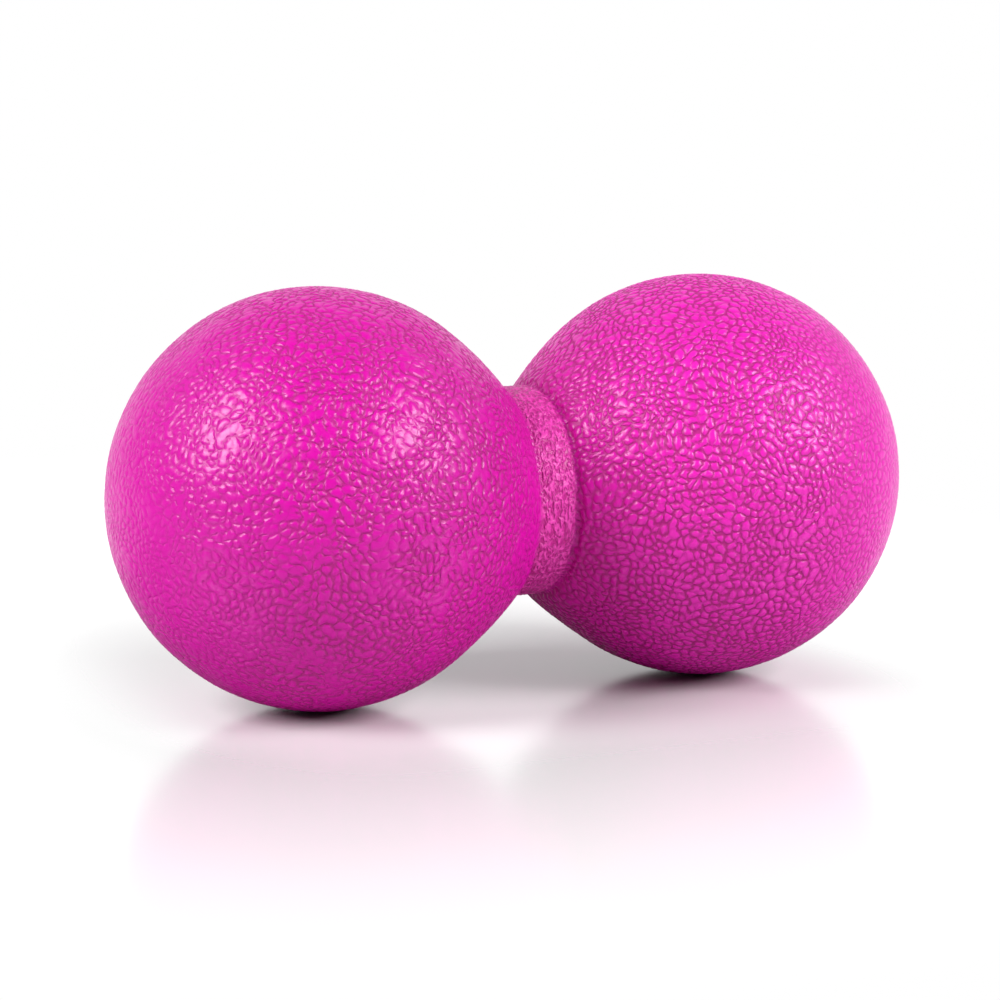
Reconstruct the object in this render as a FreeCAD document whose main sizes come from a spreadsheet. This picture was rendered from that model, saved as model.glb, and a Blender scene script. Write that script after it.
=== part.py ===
import FreeCAD, Part
import math
import os
import Sketcher

# Peanut massage ball: two solid rubber balls and the short waist between them,
# moulded as one piece. The spine, the neck or a calf lies in the groove at the waist.
# Sizes are in millimetres. The origin is the middle of the waist, +X runs along the
# piece and +Z is up.

# Driving sizes: name, value, what it measures. The angle is in degrees.
SIZES = [
    ("ball_diameter", 63.0, "outside diameter of each ball"),
    ("shoulder_angle", 55.0, "at the ball's centre, from the long axis to the shoulder's start"),
    ("shoulder_radius", 70.0, "radius of the flatter arc from the ball down to the waist"),
    ("crease_radius", 0.4, "radius in the crease where a shoulder meets the band"),
    ("waist_diameter", 32.2, "diameter of the band between the balls"),
    ("band_width", 5.2, "length of the band along the piece, from crease to crease"),
]

doc = FreeCAD.newDocument("peanut_massage_ball")
sizes = doc.addObject("Spreadsheet::Sheet", "Sizes")
for row, (name, value, note) in enumerate(SIZES, start=1):
    sizes.set(f"A{row}", name)
    sizes.set(f"B{row}", str(value))
    sizes.setAlias(f"B{row}", name)
    sizes.set(f"C{row}", note)
doc.recompute()


def origin_feature(body, role):
    """The plane or axis of the body's own origin that plays this role."""
    return next(item for item in body.Origin.OriginFeatures if item.Role == role)


# Where the outline's arcs have their centres, worked out from the sizes. The shoulder
# is tangent to the ball and to the crease, and its centre is past the long axis.
ball_radius = sizes.ball_diameter / 2
shoulder_radius = sizes.shoulder_radius
crease_radius = sizes.crease_radius
waist_radius = sizes.waist_diameter / 2
half_band = sizes.band_width / 2
shoulder_angle = math.radians(sizes.shoulder_angle)
ball_to_shoulder = shoulder_radius - ball_radius
shoulder_to_crease = shoulder_radius + crease_radius
crease_y = waist_radius + crease_radius
shoulder_y = -ball_to_shoulder * math.sin(shoulder_angle)
crease_angle = math.asin((crease_y - shoulder_y) / shoulder_to_crease)
shoulder_x = half_band + shoulder_to_crease * math.cos(crease_angle)
ball_x = shoulder_x - ball_to_shoulder * math.cos(shoulder_angle)

# Outline above the long axis, from right to left, and the axis that closes it
body = doc.addObject("PartDesign::Body", "peanut_ball")
body.Label = "peanut_ball"
outline = body.newObject("Sketcher::SketchObject", "Outline")
outline.AttachmentSupport = [(origin_feature(body, "XZ_Plane"), "")]
outline.MapMode = "FlatFace"


def add_line(start_x, start_y, end_x, end_y, construction=False):
    line = Part.LineSegment(FreeCAD.Vector(start_x, start_y, 0), FreeCAD.Vector(end_x, end_y, 0))
    return outline.addGeometry(line, construction)


def add_arc(x, y, radius, first, last):
    """An arc about (x, y), counter-clockwise from the first angle to the last."""
    circle = Part.Circle(FreeCAD.Vector(x, y, 0), FreeCAD.Vector(0, 0, 1), radius)
    return outline.addGeometry(Part.ArcOfCircle(circle, first, last), False)


right_ball = add_arc(ball_x, 0, ball_radius, 0, math.pi - shoulder_angle)
right_shoulder = add_arc(shoulder_x, shoulder_y, shoulder_radius,
                         math.pi - shoulder_angle, math.pi - crease_angle)
right_crease = add_arc(half_band, crease_y, crease_radius, -math.pi / 2, -crease_angle)
band = add_line(half_band, waist_radius, -half_band, waist_radius)
left_crease = add_arc(-half_band, crease_y, crease_radius,
                      math.pi + crease_angle, 3 * math.pi / 2)
left_shoulder = add_arc(-shoulder_x, shoulder_y, shoulder_radius, crease_angle, shoulder_angle)
left_ball = add_arc(-ball_x, 0, ball_radius, shoulder_angle, math.pi)
long_axis = add_line(-ball_x - ball_radius, 0, ball_x + ball_radius, 0)
shoulder_ray = add_line(ball_x, 0, ball_x - ball_radius * math.cos(shoulder_angle),
                        ball_radius * math.sin(shoulder_angle), construction=True)

# Point numbers of a line or an arc, and the sketch's own origin and axes
START, END, CENTRE = 1, 2, 3
X_AXIS, Y_AXIS = -1, -2
ORIGIN = (X_AXIS, START)


def constrain(kind, *what):
    return outline.addConstraint(Sketcher.Constraint(kind, *what))


# Ball, shoulder, crease and band run into each other with no corner
constrain("Tangent", right_ball, END, right_shoulder, START)
constrain("Tangent", right_shoulder, END, right_crease, END)
constrain("Tangent", right_crease, START, band, START)
constrain("Tangent", band, END, left_crease, END)
constrain("Tangent", left_crease, START, left_shoulder, START)
constrain("Tangent", left_shoulder, END, left_ball, START)
constrain("Coincident", left_ball, END, long_axis, START)
constrain("Coincident", long_axis, END, right_ball, START)

# The ends and the balls' centres are on the long axis, and both halves are alike
constrain("PointOnObject", long_axis, START, X_AXIS)
constrain("PointOnObject", long_axis, END, X_AXIS)
constrain("PointOnObject", right_ball, CENTRE, X_AXIS)
constrain("Symmetric", right_ball, CENTRE, left_ball, CENTRE, *ORIGIN)
constrain("Symmetric", band, START, band, END, Y_AXIS)
constrain("Equal", right_ball, left_ball)
constrain("Equal", right_shoulder, left_shoulder)
constrain("Equal", right_crease, left_crease)

# The ray from the ball's centre marks where the shoulder starts
constrain("Coincident", shoulder_ray, START, right_ball, CENTRE)
constrain("Coincident", shoulder_ray, END, right_ball, END)


def bind(name, index, expression):
    """Name a dimension of the outline and tie it to the sheet."""
    outline.renameConstraint(index, name)
    outline.setExpression(f"Constraints.{name}", expression)


bind("ball_radius", constrain("Radius", right_ball, ball_radius), "Sizes.ball_diameter / 2")
bind("shoulder_radius", constrain("Radius", right_shoulder, shoulder_radius),
     "Sizes.shoulder_radius")
bind("crease_radius", constrain("Radius", right_crease, crease_radius), "Sizes.crease_radius")
bind("shoulder_angle", constrain("Angle", shoulder_ray, math.pi - shoulder_angle),
     "180 - Sizes.shoulder_angle")
bind("half_band", constrain("DistanceX", *ORIGIN, band, START, half_band),
     "Sizes.band_width / 2")
bind("waist_radius", constrain("DistanceY", *ORIGIN, band, START, waist_radius),
     "Sizes.waist_diameter / 2")
doc.recompute()

# The solid piece: the outline turned once round the long axis
moulding = body.newObject("PartDesign::Revolution", "Moulding")
moulding.Profile = outline
moulding.ReferenceAxis = (outline, ["H_Axis"])
moulding.Angle = 360
body.Tip = moulding
doc.recompute()

# Nothing is written unless every object has been worked out and the solid is sound
failed = [item.Name for item in doc.Objects if {"Invalid", "Error"} & set(item.State)]
if failed:
    raise RuntimeError("not worked out: " + ", ".join(failed))
if outline.solve() != 0 or not outline.FullyConstrained:
    raise RuntimeError("the outline is not fully constrained")
if body.Shape.isNull() or not body.Shape.isValid() or len(body.Shape.Solids) != 1:
    raise RuntimeError("the moulding is not one sound solid")

os.makedirs("parts", exist_ok=True)
body.Shape.exportStep("parts/peanut_ball.step")
box = body.Shape.BoundBox
print(f"peanut_ball {box.XLength:.2f} x {box.YLength:.2f} x {box.ZLength:.2f} mm, "
      f"{body.Shape.Volume / 1000:.1f} cm3, ball centres {2 * ball_x:.2f} mm apart")
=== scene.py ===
import math
import random
import bpy
import numpy
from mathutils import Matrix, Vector, noise
from mathutils.kdtree import KDTree


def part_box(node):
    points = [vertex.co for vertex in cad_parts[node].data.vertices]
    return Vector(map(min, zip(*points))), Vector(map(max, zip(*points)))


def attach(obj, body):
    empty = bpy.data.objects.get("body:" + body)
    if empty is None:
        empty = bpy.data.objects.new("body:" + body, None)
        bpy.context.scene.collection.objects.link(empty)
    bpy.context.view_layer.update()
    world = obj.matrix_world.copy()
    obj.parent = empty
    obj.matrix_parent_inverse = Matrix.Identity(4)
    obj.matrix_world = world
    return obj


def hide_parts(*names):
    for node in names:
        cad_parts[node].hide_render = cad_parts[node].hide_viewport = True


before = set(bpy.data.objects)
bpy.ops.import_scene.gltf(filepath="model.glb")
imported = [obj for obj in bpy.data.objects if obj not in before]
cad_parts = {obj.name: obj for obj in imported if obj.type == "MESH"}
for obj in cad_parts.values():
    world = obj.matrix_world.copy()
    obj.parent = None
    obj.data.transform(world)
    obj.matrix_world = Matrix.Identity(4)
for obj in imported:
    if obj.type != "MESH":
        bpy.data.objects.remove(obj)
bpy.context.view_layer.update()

# The moulding
# Two solid balls and the short band between them, one piece of soft thermoplastic
# rubber. The walls of its mould are etched with a leather grain.
MM = 0.001
low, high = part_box("peanut_ball")
ball_radius = (high.z - low.z) / 2
ball_x = high.x - ball_radius
shoulder_angle = math.radians(55)
shoulder_radius = 70 * MM
crease_radius = 0.4 * MM
waist_radius = 16.1 * MM
half_band = 2.6 * MM
mesh_step = 0.25 * MM

ball_to_shoulder = shoulder_radius - ball_radius
shoulder_z = -ball_to_shoulder * math.sin(shoulder_angle)
crease_z = waist_radius + crease_radius
crease_angle = math.asin((crease_z - shoulder_z) / (shoulder_radius + crease_radius))
shoulder_x = ball_x + ball_to_shoulder * math.cos(shoulder_angle)


def draw_arc(x, z, radius, turn):
    """Carry the outline on round (x, z) from its last point."""
    steps = max(3, round(abs(turn) * radius / mesh_step))
    bpy.ops.mesh.spin(steps=steps, angle=turn, center=(x, 0, z), axis=(0, 1, 0))


bpy.ops.object.select_all(action="DESELECT")
bpy.ops.mesh.primitive_plane_add(size=MM, location=(0, 0, 0))
moulding = bpy.context.object
moulding.name = "moulding"
bpy.ops.object.mode_set(mode="EDIT")
bpy.ops.mesh.merge(type="CENTER")
bpy.ops.transform.translate(value=(ball_x + ball_radius, 0, 0))
draw_arc(ball_x, 0, ball_radius, math.pi - shoulder_angle)
draw_arc(shoulder_x, shoulder_z, shoulder_radius, shoulder_angle - crease_angle)
draw_arc(half_band, crease_z, crease_radius, crease_angle - math.pi / 2)
for step in range(round(half_band / mesh_step)):
    bpy.ops.mesh.extrude_region_move(
        TRANSFORM_OT_translate={"value": (-half_band / round(half_band / mesh_step), 0, 0)})
bpy.ops.object.mode_set(mode="OBJECT")


def apply_modifier(piece, kind, **settings):
    """Add a modifier with its settings and apply it."""
    modifier = piece.modifiers.new(kind.title(), kind)
    for name, value in settings.items():
        setattr(modifier, name, value)
    bpy.context.view_layer.objects.active = piece
    bpy.ops.object.modifier_apply(modifier=modifier.name)


turns = round(2 * math.pi * ball_radius / mesh_step)
apply_modifier(moulding, "MIRROR", use_axis=(True, False, False), use_clip=True,
               merge_threshold=0.01 * MM)
apply_modifier(moulding, "SCREW", axis="X", angle=2 * math.pi, steps=turns, render_steps=turns,
               use_merge_vertices=True, merge_threshold=0.0001 * MM)
bpy.ops.object.mode_set(mode="EDIT")
bpy.ops.mesh.select_all(action="SELECT")
bpy.ops.mesh.remove_doubles(threshold=0.0001 * MM)
bpy.ops.mesh.normals_make_consistent(inside=False)
bpy.ops.object.mode_set(mode="OBJECT")
bpy.ops.object.shade_smooth()


def add_node(tree, kind, inputs=(), **settings):
    """Add a node with its settings. An input is a number, a socket, or a node's first output."""
    node = tree.nodes.new(kind)
    for name, value in settings.items():
        setattr(node, name, value)
    named = inputs.items() if isinstance(inputs, dict) else enumerate(inputs)
    for name, value in named:
        if isinstance(value, bpy.types.Node):
            value = value.outputs[0]
        if isinstance(value, bpy.types.NodeSocket):
            tree.links.new(value, node.inputs[name])
        elif value is not None:
            node.inputs[name].default_value = value
    return node


# Leather grain
# The mould's walls are etched with it: rounded plateaus, parted by narrow grooves. Each
# plateau grows round one of many scattered points. Lengths in this section are millimetres.
plateau_spacing = 0.98
spacing_change = 0.35
dome = 0.55
dome_power = 2.3
line_start = 0.02
line_width = 0.21
corner_rounding = 1.5
joining_softness = (-0.15, 0.2)
joined_depth = 0.12
plateau_lean = 0.15
fold_width = 0.16
fold_depth = 0.55
wobble_size = 0.55
wobble = 0.19
band_edge = 3.0
band_fade = 0.35
ragged_size = 0.7
ragged_reach = 0.7
band_grain_size = 0.8
band_grain_slimness = 1.6
band_depth = 1.2
point_names = [f"plateau_{rank}" for rank in range(4)]


def moved_by_noise(tree, place, size, amount):
    """A place pushed about by a noise of this size."""
    cloud = add_node(tree, "ShaderNodeTexNoise", {"Vector": place, "Scale": 1 / size, "Detail": 0.0})
    even = add_node(tree, "ShaderNodeVectorMath", [cloud.outputs["Color"], [0.5] * 3],
                    operation="SUBTRACT")
    return add_node(tree, "ShaderNodeVectorMath", [even, [2 * amount] * 3, place],
                    operation="MULTIPLY_ADD")


def nearer_first(tree, one, other):
    """Two plateau points with their distances, in order of distance."""
    swap = add_node(tree, "ShaderNodeMath", [other[0], one[0]], operation="LESS_THAN")
    near = add_node(tree, "ShaderNodeMath", [one[0], other[0]], operation="MINIMUM")
    far = add_node(tree, "ShaderNodeMath", [one[0], other[0]], operation="MAXIMUM")
    near_point = add_node(tree, "ShaderNodeMix", {"Factor": swap, 4: one[1], 5: other[1]},
                          data_type="VECTOR").outputs[1]
    far_point = add_node(tree, "ShaderNodeMix", {"Factor": swap, 4: other[1], 5: one[1]},
                         data_type="VECTOR").outputs[1]
    return (near, near_point), (far, far_point)


def band_grain(tree, spot):
    """How far a spot is on the band, whose edge is ragged, and the depth of its coarse grain."""
    x = add_node(tree, "ShaderNodeSeparateXYZ", [spot]).outputs["X"]
    ragged = add_node(tree, "ShaderNodeTexNoise",
                      {"Vector": spot, "Scale": 1 / ragged_size, "Detail": 1.0})
    x = add_node(tree, "ShaderNodeMath", [x], operation="ABSOLUTE")
    x = add_node(tree, "ShaderNodeMath", [ragged.outputs["Fac"], ragged_reach, x],
                 operation="MULTIPLY_ADD")
    band = add_node(tree, "ShaderNodeMapRange", [x, band_edge, band_edge + band_fade, 1.0, 0.0])
    slim = add_node(tree, "ShaderNodeVectorMath", [spot, [band_grain_slimness, 1.0, 1.0]],
                    operation="MULTIPLY")
    coarse = add_node(tree, "ShaderNodeTexNoise",
                      {"Vector": slim, "Scale": 1 / band_grain_size, "Detail": 1.0,
                       "Distortion": 0.2})
    coarse = add_node(tree, "ShaderNodeMapRange", [coarse.outputs["Fac"], 0.3, 0.68, 1.0, 0.0],
                      interpolation_type="SMOOTHSTEP")
    return band, coarse


def leather_grain(tree, spot, place, points, feel):
    """The depth of the grain, the lines at its grooves' feet, and how far a spot is on the band."""
    strength, joining, fold_line = add_node(tree, "ShaderNodeSeparateXYZ", [feel]).outputs
    place = moved_by_noise(tree, place, wobble_size, wobble)
    ranked = []
    for point in points:
        distance = add_node(tree, "ShaderNodeVectorMath", [place, point], operation="DISTANCE")
        ranked.append((distance.outputs["Value"], point))
    one_near, one_far = nearer_first(tree, ranked[0], ranked[1])
    other_near, other_far = nearer_first(tree, ranked[2], ranked[3])
    near, middle = nearer_first(tree, one_near, other_near)
    far = nearer_first(tree, one_far, other_far)[0]
    second, third = nearer_first(tree, middle, far)
    gap = add_node(tree, "ShaderNodeMath", [second[0], third[0], corner_rounding],
                   operation="SMOOTH_MIN")
    gap = add_node(tree, "ShaderNodeMath", [gap, near[0]], operation="SUBTRACT")
    gap = add_node(tree, "ShaderNodeMath", [gap, 0.5], operation="MULTIPLY")
    groove = add_node(tree, "ShaderNodeMapRange", [gap, 0.0, dome, 1.0, 0.0])
    groove = add_node(tree, "ShaderNodeMath", [groove, dome_power], operation="POWER")
    line = add_node(tree, "ShaderNodeMapRange", [gap, line_start, line_width, 1.0, 0.0],
                    interpolation_type="SMOOTHSTEP")

    pair = add_node(tree, "ShaderNodeVectorMath", [near[1], second[1]], operation="ADD")
    pair = add_node(tree, "ShaderNodeTexWhiteNoise", {"Vector": pair})
    pair = add_node(tree, "ShaderNodeMath", [pair.outputs["Value"], joining], operation="SUBTRACT")
    depth = add_node(tree, "ShaderNodeMapRange", [pair, *joining_softness, joined_depth, 1.0])
    groove = add_node(tree, "ShaderNodeMath", [groove, depth], operation="MULTIPLY")
    line = add_node(tree, "ShaderNodeMath", [line, depth], operation="MULTIPLY")

    own = add_node(tree, "ShaderNodeTexWhiteNoise", {"Vector": near[1]})
    slope = add_node(tree, "ShaderNodeVectorMath", [own.outputs["Color"], [0.5] * 3],
                     operation="SUBTRACT")
    out = add_node(tree, "ShaderNodeVectorMath", [place, near[1]], operation="SUBTRACT")
    lean = add_node(tree, "ShaderNodeVectorMath", [slope, out], operation="DOT_PRODUCT")
    groove = add_node(tree, "ShaderNodeMath",
                      [lean.outputs["Value"], -plateau_lean, groove], operation="MULTIPLY_ADD")

    fold = add_node(tree, "ShaderNodeMath", [fold_line], operation="ABSOLUTE")
    fold = add_node(tree, "ShaderNodeMapRange", [fold, 0.0, fold_width, fold_depth, 0.0])
    groove = add_node(tree, "ShaderNodeMath", [groove, fold], operation="MAXIMUM")
    line = add_node(tree, "ShaderNodeMath", [line, fold], operation="MAXIMUM")
    faded = add_node(tree, "ShaderNodeMath", [strength, 2.0], operation="POWER")
    line = add_node(tree, "ShaderNodeMath", [line, faded], operation="MULTIPLY")
    groove = add_node(tree, "ShaderNodeMath", [groove, strength], operation="MULTIPLY")
    band, coarse = band_grain(tree, spot)
    deep = add_node(tree, "ShaderNodeMath", [coarse, band_depth], operation="MULTIPLY")
    groove = add_node(tree, "ShaderNodeMix", {"Factor": band, "A": groove, "B": deep}).outputs[0]
    line = add_node(tree, "ShaderNodeMix", {"Factor": band, "A": line, "B": coarse}).outputs[0]
    return groove, line, band


def mesh_nodes(name):
    """An empty geometry nodes tree, and its incoming mesh."""
    tree = bpy.data.node_groups.new(name, "GeometryNodeTree")
    for in_out in ("INPUT", "OUTPUT"):
        tree.interface.new_socket("Geometry", in_out=in_out, socket_type="NodeSocketGeometry")
    return tree, add_node(tree, "NodeGroupInput")


# The grain's own coordinates are kept on the mesh. Two noises bend them, so that no row shows.
bend_sizes = (7.0, 1.9)
bend_reaches = (1.2, 0.35)
tree, mesh = mesh_nodes("grain_coordinates")
position = add_node(tree, "GeometryNodeInputPosition")
place = add_node(tree, "ShaderNodeVectorMath", [position, [1 / MM] * 3], operation="MULTIPLY")
x = add_node(tree, "ShaderNodeSeparateXYZ", [place]).outputs["X"]
grain_place = place
for size, amount in zip(bend_sizes, bend_reaches):
    grain_place = moved_by_noise(tree, grain_place, size, amount)


def patches(size, low, high):
    """A mask of soft patches of this size, from 0 to 1."""
    cloud = add_node(tree, "ShaderNodeTexNoise", {"Vector": place, "Scale": 1 / size, "Detail": 1.0})
    return add_node(tree, "ShaderNodeMapRange", [cloud.outputs["Fac"], low, high],
                    interpolation_type="SMOOTHSTEP")


# The left ball is smoother: bare patches, plateaus that run together, a calm shoulder and a few
# thin fold lines. On both balls the far end and the foot beside the band are smoother too.
least_bare = 0.04
most_bare = 0.38
calm_from = -14.0
calm_to = -5.0
calm_strength = 0.8
far_end_from = 34.0
far_end_to = 54.0
far_end_strength = 0.5
left_end_shift = 9.0
foot_from = 3.0
foot_to = 8.0
foot_strength = 0.85
joining_right = 0.12
joining_left = 0.22
fold_size = 13.0
fold_gap = 4.0
no_fold = 6.0
left = add_node(tree, "ShaderNodeMath", [x, 0.0], operation="LESS_THAN")
bare = patches(size=6.5, low=0.58, high=0.68)
bare = add_node(tree, "ShaderNodeMapRange", [bare, 0.0, 1.0, least_bare, most_bare])
bare = add_node(tree, "ShaderNodeMath", [bare, left], operation="MULTIPLY")
bare = add_node(tree, "ShaderNodeMath", [1.0, bare], operation="SUBTRACT")
calm = add_node(tree, "ShaderNodeMapRange", [x, calm_from, calm_to, 0.0, 1.0])
calm = add_node(tree, "ShaderNodeMath", [calm, left], operation="MULTIPLY")
calm = add_node(tree, "ShaderNodeMapRange", [calm, 0.0, 1.0, 1.0, calm_strength])
strength = add_node(tree, "ShaderNodeMath", [bare, calm], operation="MULTIPLY")
outward = add_node(tree, "ShaderNodeMath", [x], operation="ABSOLUTE")
far_end = add_node(tree, "ShaderNodeMath", [left, -left_end_shift, outward],
                   operation="MULTIPLY_ADD")
far_end = add_node(tree, "ShaderNodeMapRange",
                   [far_end, far_end_from, far_end_to, 1.0, far_end_strength])
strength = add_node(tree, "ShaderNodeMath", [strength, far_end], operation="MULTIPLY")
foot = add_node(tree, "ShaderNodeMapRange", [outward, foot_from, foot_to, foot_strength, 1.0])
strength = add_node(tree, "ShaderNodeMath", [strength, foot], operation="MULTIPLY")
joining = add_node(tree, "ShaderNodeMapRange", [left, 0.0, 1.0, joining_right, joining_left])
fold_line = add_node(tree, "ShaderNodeTexNoise",
                     {"Vector": place, "Scale": 1 / fold_size, "Detail": 0.0})
fold_line = add_node(tree, "ShaderNodeMath", [fold_line.outputs["Fac"], 0.5], operation="SUBTRACT")
fold_line = add_node(tree, "ShaderNodeMath", [fold_line, fold_size], operation="MULTIPLY")
elsewhere = add_node(tree, "ShaderNodeMapRange", [left, 0.0, 1.0, no_fold, 0.0])
unfolded = patches(size=7.0, low=0.42, high=0.5)
fold_line = add_node(tree, "ShaderNodeMath", [unfolded, fold_gap, fold_line],
                     operation="MULTIPLY_ADD")
fold_line = add_node(tree, "ShaderNodeMath", [fold_line, elsewhere], operation="ADD")
feel = add_node(tree, "ShaderNodeCombineXYZ", [strength, joining, fold_line])
for name, value in (("grain_place", grain_place), ("grain_feel", feel)):
    mesh = add_node(tree, "GeometryNodeStoreNamedAttribute",
                    {"Geometry": mesh, "Name": name, "Value": value}, data_type="FLOAT_VECTOR")
add_node(tree, "NodeGroupOutput", [mesh])
apply_modifier(moulding, "NODES", node_group=tree)


most_tries = 250000
spacing_patch = 4.0


def scattered_points(places, seed):
    """Some of the places, in random order, each clear of those taken before it."""
    order = list(range(len(places)))
    random.Random(seed).shuffle(order)
    widest_gap = plateau_spacing * (1 + spacing_change)
    taken = {}
    for index in order[:most_tries]:
        place = Vector(places[index])
        clear = plateau_spacing * (1 + spacing_change * noise.noise(place / spacing_patch))
        cell = tuple(int(v // widest_gap) for v in place)
        around = [(cell[0] + i, cell[1] + j, cell[2] + k)
                  for i in (0, -1, 1) for j in (0, -1, 1) for k in (0, -1, 1)]
        if all((place - other).length_squared > clear * clear
               for key in around for other in taken.get(key, ())):
            taken.setdefault(cell, []).append(place)
    return [place for group in taken.values() for place in group]


def read_vectors(mesh, name):
    """The values of a vector attribute, one row for each place."""
    values = numpy.empty(len(mesh.attributes[name].data) * 3, numpy.float32)
    mesh.attributes[name].data.foreach_get("vector", values)
    return values.reshape(-1, 3)


def keep_nearest_points(mesh, places, domain):
    """Store the four plateau points nearest to each place on the mesh."""
    nearest = [[found[0] for found in point_tree.find_n(place, len(point_names))] for place in places]
    nearest = numpy.array(nearest, numpy.float32)
    for rank, name in enumerate(point_names):
        attribute = mesh.attributes.new(name, "FLOAT_VECTOR", domain)
        attribute.data.foreach_set("vector", nearest[:, rank].ravel())


places = read_vectors(moulding.data, "grain_place")
points = scattered_points(places, seed=4)
point_tree = KDTree(len(points))
for index, point in enumerate(points):
    point_tree.insert(point, index)
point_tree.balance()

# The relief is raised on a fine mesh, which is then thinned to the grain's main forms. The
# shoulders pinch in where they meet the band, and the waist lies a little low.
relief_height = 0.12
swell_size = 11.0
swell = 0.12
pinch_x = 3.05
pinch_width = 0.6
pinch_depth = 0.4
waist_drop = 0.7
waist_end = 14.0
triangle_limit = 195000
keep_nearest_points(moulding.data, places, "POINT")
tree, mesh = mesh_nodes("grain_relief")
place, feel, *points = [
    add_node(tree, "GeometryNodeInputNamedAttribute", {"Name": name}, data_type="FLOAT_VECTOR")
    for name in ("grain_place", "grain_feel", *point_names)]
position = add_node(tree, "GeometryNodeInputPosition")
spot = add_node(tree, "ShaderNodeVectorMath", [position, [1 / MM] * 3], operation="MULTIPLY")
groove, line, band = leather_grain(tree, spot, place, points, feel)
cloud = add_node(tree, "ShaderNodeTexNoise", {"Vector": place, "Scale": 1 / swell_size})
cloud = add_node(tree, "ShaderNodeMapRange", [cloud.outputs["Fac"], 0.3, 0.7, -swell, 0.0])
height = add_node(tree, "ShaderNodeMath", [groove, -relief_height, cloud],
                  operation="MULTIPLY_ADD")
x = add_node(tree, "ShaderNodeSeparateXYZ", [spot]).outputs["X"]
x = add_node(tree, "ShaderNodeMath", [x], operation="ABSOLUTE")
pinch = add_node(tree, "ShaderNodeMath", [x, pinch_x], operation="SUBTRACT")
pinch = add_node(tree, "ShaderNodeMath", [pinch], operation="ABSOLUTE")
pinch = add_node(tree, "ShaderNodeMapRange", [pinch, 0.0, pinch_width, -pinch_depth, 0.0],
                 interpolation_type="SMOOTHSTEP")
height = add_node(tree, "ShaderNodeMath", [height, pinch], operation="ADD")
height = add_node(tree, "ShaderNodeMath", [height, MM], operation="MULTIPLY")
drop = add_node(tree, "ShaderNodeMapRange", [x, band_edge, waist_end, -waist_drop * MM, 0.0],
                interpolation_type="SMOOTHSTEP")
drop = add_node(tree, "ShaderNodeCombineXYZ", [0.0, 0.0, drop])
normal = add_node(tree, "GeometryNodeInputNormal")
offset = add_node(tree, "ShaderNodeVectorMath", {"Vector": normal, "Scale": height},
                  operation="SCALE")
offset = add_node(tree, "ShaderNodeVectorMath", [offset, drop], operation="ADD")
mesh = add_node(tree, "GeometryNodeSetPosition", {"Geometry": mesh, "Offset": offset})
for name in point_names:
    mesh = add_node(tree, "GeometryNodeRemoveAttribute", {"Geometry": mesh, "Name": name})
add_node(tree, "NodeGroupOutput", [mesh])
apply_modifier(moulding, "NODES", node_group=tree)
triangles = sum(len(face.vertices) - 2 for face in moulding.data.polygons)
apply_modifier(moulding, "DECIMATE", ratio=triangle_limit / triangles)
bpy.ops.object.shade_smooth()


def loop_values(mesh):
    """Each face corner's vertex, and each face's first corner and number of corners."""
    corner = numpy.empty(len(mesh.loops), numpy.int32)
    first = numpy.empty(len(mesh.polygons), numpy.int32)
    count = numpy.empty(len(mesh.polygons), numpy.int32)
    mesh.loops.foreach_get("vertex_index", corner)
    mesh.polygons.foreach_get("loop_start", first)
    mesh.polygons.foreach_get("loop_total", count)
    return corner, first, count


corner, first, count = loop_values(moulding.data)
places = read_vectors(moulding.data, "grain_place")
middles = numpy.add.reduceat(places[corner], first) / count[:, None]
keep_nearest_points(moulding.data, middles, "FACE")

# A map for baking: on each ball a round cap at its far end, and a strip from there to the waist.
cap_angle = math.radians(60)
strip_top = cap_angle * ball_radius
shoulder_start = (math.pi - shoulder_angle) * ball_radius
shoulder_end_x = ball_x - math.cos(shoulder_angle) * ball_radius
shoulder_stretch = 1.35
strip_length = shoulder_start - strip_top + shoulder_end_x * shoulder_stretch
slack = 1.02
sheet = 2 * math.pi * ball_radius * slack
margin = 2 * MM
spots = read_vectors(moulding.data, "position")
spot = spots[corner]
middle = numpy.repeat(numpy.add.reduceat(spot, first) / count[:, None], count, axis=0)
end = numpy.where(middle[:, 0] < 0, -1.0, 1.0)


def polar(spot):
    """How far along its ball a spot is from the far pole, and its angle round the axis."""
    out = spot[:, 0] * end - ball_x
    reach = numpy.hypot(spot[:, 1], spot[:, 2])
    on_ball = numpy.arctan2(reach, out) * ball_radius
    on_shoulder = shoulder_start + (shoulder_end_x - spot[:, 0] * end) * shoulder_stretch
    is_shoulder = spot[:, 0] * end < shoulder_end_x
    return numpy.where(is_shoulder, on_shoulder, on_ball), numpy.arctan2(spot[:, 1], -spot[:, 2])


down, angle = polar(spot)
middle_down, middle_angle = polar(middle)
angle = middle_angle + (angle - middle_angle + math.pi) % (2 * math.pi) - math.pi
in_cap = middle_down < strip_top
strip_u = sheet / 2 + angle * ball_radius
strip_v = margin + (down - strip_top) + (end > 0) * (strip_length + 2 * margin)
cap_size = strip_top + margin
cap_u = cap_size + (end > 0) * 2 * cap_size + down * numpy.sin(angle)
cap_v = 2 * strip_length + 4 * margin + cap_size + down * numpy.cos(angle)
flat = numpy.stack([numpy.where(in_cap, cap_u, strip_u), numpy.where(in_cap, cap_v, strip_v)],
                   axis=1)
bake_map = moulding.data.uv_layers.new(name="OFBake")
bake_map.data.foreach_set("uv", (flat / sheet).astype(numpy.float32).ravel())


def linear(hex_colour):
    """A colour written as sRGB hex, as Blender's linear values."""
    parts = [int(hex_colour[i:i + 2], 16) / 255 for i in (1, 3, 5)]
    return [c / 12.92 if c <= 0.04045 else ((c + 0.055) / 1.055) ** 2.4 for c in parts] + [1]


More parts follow.
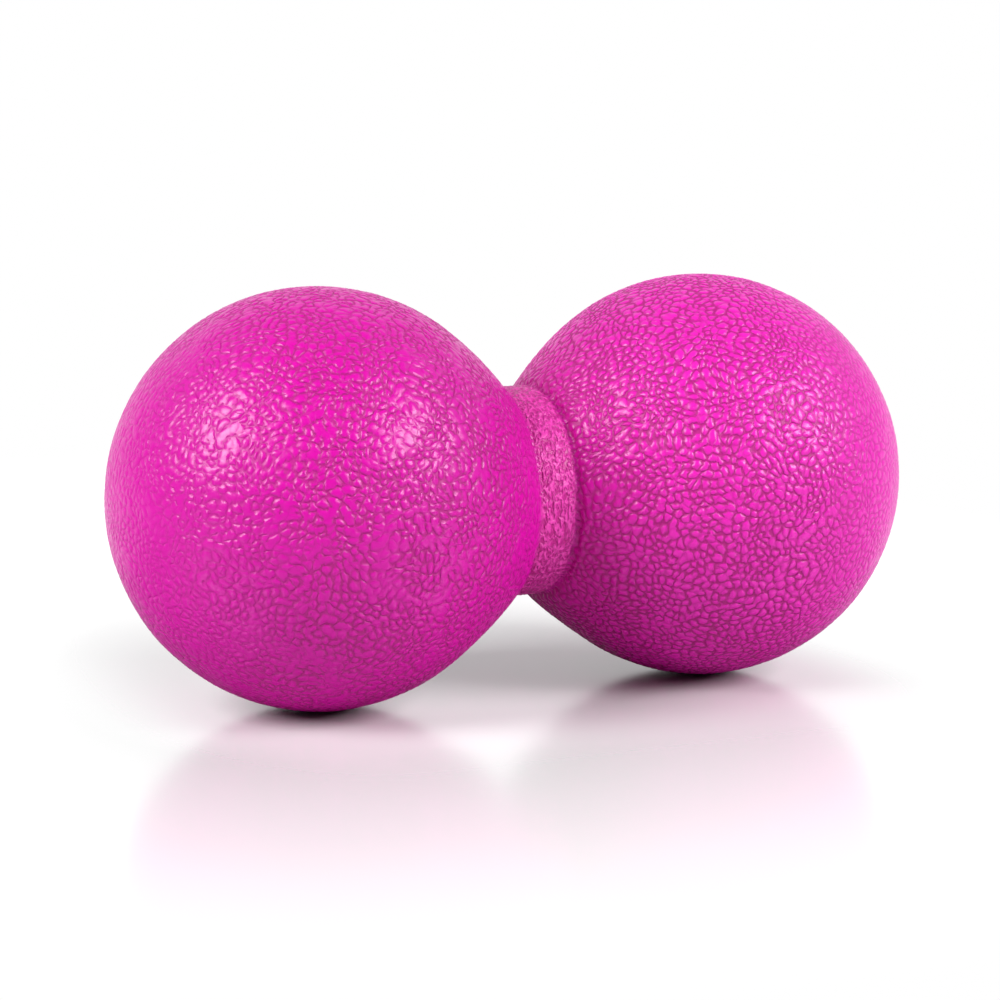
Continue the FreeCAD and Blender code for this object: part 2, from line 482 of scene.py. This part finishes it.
# Thermoplastic rubber, moulded: satin on the plateaus, duller and darker down in the grooves and on
# the rough band. The left ball is painted a little deeper in colour as painted shade, and the foot of
# the right one beside the band is painted deeper too, as painted shade where the left ball and the
# band shade it.
bump_depth = 0.2 * MM
painted_shade_end = 14.0
plateau_roughness = 0.32
groove_roughness = 0.52
band_roughness = 0.4
rubber = bpy.data.materials.new("moulded_rubber")
rubber.use_nodes = True
tree = rubber.node_tree
tree.nodes.clear()
coords = add_node(tree, "ShaderNodeTexCoord")
spot = add_node(tree, "ShaderNodeVectorMath", [coords.outputs["Object"], [1 / MM] * 3],
                operation="MULTIPLY")
place, feel, *points = [
    add_node(tree, "ShaderNodeAttribute", attribute_name=name).outputs["Vector"]
    for name in ("grain_place", "grain_feel", *point_names)]
groove, line, band = leather_grain(tree, spot, place, points, feel)
height = add_node(tree, "ShaderNodeMath", [groove, -1.0], operation="MULTIPLY")
bump = add_node(tree, "ShaderNodeBump",
                {"Height": height, "Distance": bump_depth, "Strength": 1.0})
x = add_node(tree, "ShaderNodeSeparateXYZ", [spot]).outputs["X"]
# Painted shade: the left ball and the right ball's foot up to painted_shade_end take the deeper
# plateau colour.
clear_of_painted_shade = add_node(tree, "ShaderNodeMapRange", [x, half_band / MM, painted_shade_end])
plateau_with_painted_shade = add_node(tree, "ShaderNodeMix",
                          {"Factor": clear_of_painted_shade, 6: linear("#c20494"), 7: linear("#d31aa5")},
                          data_type="RGBA").outputs[2]
ball_colour = add_node(tree, "ShaderNodeMix",
                       {"Factor": line, 6: plateau_with_painted_shade, 7: linear("#a20072")},
                       data_type="RGBA").outputs[2]
band_colour = add_node(tree, "ShaderNodeMix",
                       {"Factor": line, 6: linear("#de3caa"), 7: linear("#b41480")},
                       data_type="RGBA").outputs[2]
colour = add_node(tree, "ShaderNodeMix", {"Factor": band, 6: ball_colour, 7: band_colour},
                  data_type="RGBA").outputs[2]
dull = add_node(tree, "ShaderNodeMapRange",
                [line, 0.1, 0.8, plateau_roughness, groove_roughness])
roughness = add_node(tree, "ShaderNodeMix",
                     {"Factor": band, "A": dull, "B": band_roughness}).outputs[0]
surface = add_node(tree, "ShaderNodeBsdfPrincipled",
                   {"Base Color": colour, "Roughness": roughness, "Specular IOR Level": 0.4,
                    "Normal": bump})
add_node(tree, "ShaderNodeOutputMaterial", {"Surface": surface})
moulding.data.materials.append(rubber)
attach(moulding, "root")
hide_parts("peanut_ball")

# Stage
# A sheet of white acrylic on a white sweep. Close to the ball it takes the shadows, round it
# a soft reflection, and further off it is plain white.
away_from_camera = [0.423, 0.906, 0.0]
behind_counts = 0.5
beside_counts = 1.6
shade_from = 22 * MM
shade_to = 55 * MM
dim_glow = 0.64
full_glow_from = 35 * MM
full_glow_to = 115 * MM
plain_from = 75 * MM
plain_to = 150 * MM
bpy.ops.object.select_all(action="DESELECT")
bpy.ops.mesh.primitive_plane_add(size=6, location=(0, 0, 0))
floor = bpy.context.object
floor.name = "floor"
bpy.ops.object.mode_set(mode="EDIT")
bpy.ops.transform.translate(value=(0, 0, -ball_radius))
bpy.ops.object.mode_set(mode="OBJECT")
acrylic = bpy.data.materials.new("white_acrylic")
acrylic.use_nodes = True
tree = acrylic.node_tree
tree.nodes.clear()


def looked_at(tree, place, low, high):
    """1 for camera and transmission rays, and for glossy ones where the place is behind the ball."""
    path = add_node(tree, "ShaderNodeLightPath")
    behind = add_node(tree, "ShaderNodeVectorMath", [place, away_from_camera],
                      operation="DOT_PRODUCT")
    behind = add_node(tree, "ShaderNodeMapRange", [behind.outputs["Value"], low, high])
    mirrored = add_node(tree, "ShaderNodeMath", [path.outputs["Is Glossy Ray"], behind],
                        operation="MULTIPLY")
    seen = add_node(tree, "ShaderNodeMath", [path.outputs["Is Camera Ray"], mirrored],
                    operation="MAXIMUM")
    return add_node(tree, "ShaderNodeMath", [seen, path.outputs["Is Transmission Ray"]],
                    operation="MAXIMUM")


# How far a spot is from the line under the balls. Behind it a distance counts half, and for the
# shade it counts more beside the balls.
coords = add_node(tree, "ShaderNodeTexCoord")
spot = add_node(tree, "ShaderNodeSeparateXYZ", [coords.outputs["Object"]])
between_balls = add_node(tree, "ShaderNodeClamp", [spot.outputs["X"], -ball_x, ball_x])
beyond = add_node(tree, "ShaderNodeMath", [spot.outputs["X"], between_balls], operation="SUBTRACT")
behind = add_node(tree, "ShaderNodeMath", [spot.outputs["Y"], behind_counts],
                  operation="MULTIPLY")
depth = add_node(tree, "ShaderNodeMath", [spot.outputs["Y"], behind], operation="MINIMUM")
away = add_node(tree, "ShaderNodeCombineXYZ", [beyond, depth, 0.0])
away = add_node(tree, "ShaderNodeVectorMath", [away], operation="LENGTH").outputs["Value"]
beside = add_node(tree, "ShaderNodeMath", [beyond, beside_counts], operation="MULTIPLY")
aside = add_node(tree, "ShaderNodeCombineXYZ", [beside, depth, 0.0])
aside = add_node(tree, "ShaderNodeVectorMath", [aside], operation="LENGTH").outputs["Value"]

# The floor's white is a glow. In reflections it glows only behind the ball and is otherwise
# dark, so that the pink stays deep.
seen = looked_at(tree, coords.outputs["Object"], low=-0.02, high=0.06)
unshaded = add_node(tree, "ShaderNodeMapRange", [aside, shade_from, shade_to],
                    interpolation_type="SMOOTHSTEP")
unshaded = add_node(tree, "ShaderNodeMath", [unshaded, seen], operation="MULTIPLY")
mirrored = add_node(tree, "ShaderNodeLightPath").outputs["Is Glossy Ray"]
dark = add_node(tree, "ShaderNodeMath", [unshaded, mirrored], operation="MAXIMUM")
base = add_node(tree, "ShaderNodeMix",
                {"Factor": dark, 6: linear("#e4e4e4"), 7: linear("#000000")}, data_type="RGBA")
glow = add_node(tree, "ShaderNodeMapRange", [away, full_glow_from, full_glow_to, dim_glow, 1.0])
glow = add_node(tree, "ShaderNodeMath", [unshaded, glow], operation="MULTIPLY")
surface = add_node(tree, "ShaderNodeBsdfPrincipled",
                   {"Base Color": base.outputs[2], "Roughness": 0.18, "IOR": 1.7,
                    "Specular IOR Level": 1.0, "Emission Color": linear("#ffffff"),
                    "Emission Strength": glow})
plain = add_node(tree, "ShaderNodeEmission", [linear("#ffffff"), 1.0])
plainness = add_node(tree, "ShaderNodeMapRange", [away, plain_from, plain_to],
                     interpolation_type="SMOOTHSTEP")
plainness = add_node(tree, "ShaderNodeMath", [plainness, seen], operation="MULTIPLY")
mixed = add_node(tree, "ShaderNodeMixShader", [plainness, surface, plain])
add_node(tree, "ShaderNodeOutputMaterial", {"Surface": mixed})
floor.data.materials.append(acrylic)

# The sweep behind and beside the ball is lit, and the room in front of it is dim.
dim_front = 0.03
lit_back = 0.25
world = bpy.data.worlds.new("studio")
bpy.context.scene.world = world
world.use_nodes = True
tree = world.node_tree
tree.nodes.clear()
coords = add_node(tree, "ShaderNodeTexCoord")
behind = add_node(tree, "ShaderNodeVectorMath", [coords.outputs["Generated"], away_from_camera],
                  operation="DOT_PRODUCT")
sweep = add_node(tree, "ShaderNodeMapRange",
                 [behind.outputs["Value"], -0.5, 0.8, dim_front, lit_back])
fill = add_node(tree, "ShaderNodeBackground", [linear("#ffffff"), sweep])
shown = add_node(tree, "ShaderNodeBackground", [linear("#ffffff"), 1.0])
seen = looked_at(tree, coords.outputs["Generated"], low=0.25, high=0.85)
mixed = add_node(tree, "ShaderNodeMixShader", [seen, fill, shown])
add_node(tree, "ShaderNodeOutputWorld", {"Surface": mixed})

# Camera, as the photograph was taken
azimuth = math.radians(-25.03)
elevation = math.radians(8.38)
camera_distance = 441.3 * MM
aim_right = -2.09 * MM
aim_up = -2.15 * MM
lens = 104.05
toward = Vector((math.sin(azimuth) * math.cos(elevation), -math.cos(azimuth) * math.cos(elevation),
                 math.sin(elevation)))
right = Vector((math.cos(azimuth), math.sin(azimuth), 0))
up = toward.cross(right)
camera_place = toward * camera_distance + right * aim_right + up * aim_up
bpy.ops.object.camera_add(location=camera_place)
camera = bpy.context.object
camera.rotation_euler = toward.to_track_quat("Z", "Y").to_euler()
camera.data.lens = lens
bpy.context.scene.camera = camera


def seen_from_camera(across, over, out):
    """A direction: how far to the right, up and toward the camera."""
    return right * across + up * over + toward * out


def softbox(name, direction, distance, size, power):
    """A square lamp that faces the middle of the object."""
    bpy.ops.object.light_add(type="AREA", location=Vector(direction).normalized() * distance)
    lamp = bpy.context.object
    lamp.name = name
    lamp.data.shape = "SQUARE"
    lamp.data.size = size
    lamp.data.energy = power
    lamp.rotation_euler = Vector(direction).to_track_quat("Z", "Y").to_euler()


# Two softboxes above the ball, one on each side of the camera
softbox("softbox_left", seen_from_camera(-0.68, 0.51, 0.52), distance=1.2, size=0.6, power=18.3)
softbox("softbox_right", seen_from_camera(0.77, 0.45, 0.42), distance=1.2, size=0.6, power=17.2)

bpy.context.scene.view_settings.view_transform = "Standard"
